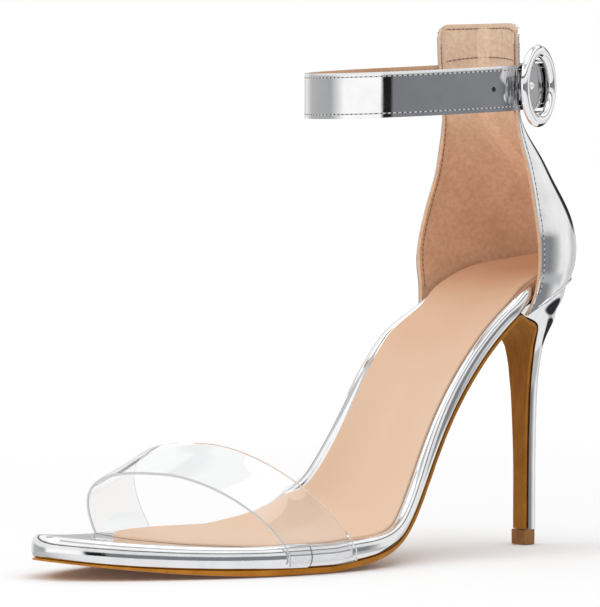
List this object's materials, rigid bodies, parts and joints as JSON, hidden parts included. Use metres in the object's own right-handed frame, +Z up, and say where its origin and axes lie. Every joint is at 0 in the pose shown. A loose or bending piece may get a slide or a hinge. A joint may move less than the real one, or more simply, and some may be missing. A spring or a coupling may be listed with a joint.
{
  "type": "high-heeled sandal",
  "caption": "Left high-heeled sandal: mirror-finish ankle strap with round buckle and tall heel counter, clear toe strap, slim heel, shaped footbed.",
  "frame": {"origin": "on the floor, under the middle of the whole sandal's box", "axes": "+Z up, toe toward -Y, heel toward +Y, outer side of the left foot toward +X"},
  "size_m": [0.0854, 0.2414, 0.1973],
  "materials": {
    "sole_leather": "smooth satin",
    "mirror_leather": "mirror foil",
    "sock_leather": "smooth matt",
    "lift_rubber": "matt",
    "buckle_metal": "polished",
    "clear_sheet": "clear, polished"
  },
  "bodies": {
    "root": {"outsole": "sole_leather", "insole_board": "mirror_leather", "sock": "sock_leather", "heel": "mirror_leather", "top_lift": "lift_rubber", "counter": "mirror_leather", "ankle_strap": "mirror_leather", "buckle_ring": "buckle_metal", "buckle_prong": "buckle_metal", "vamp_strap": "clear_sheet"}
  },
  "joints": []
}
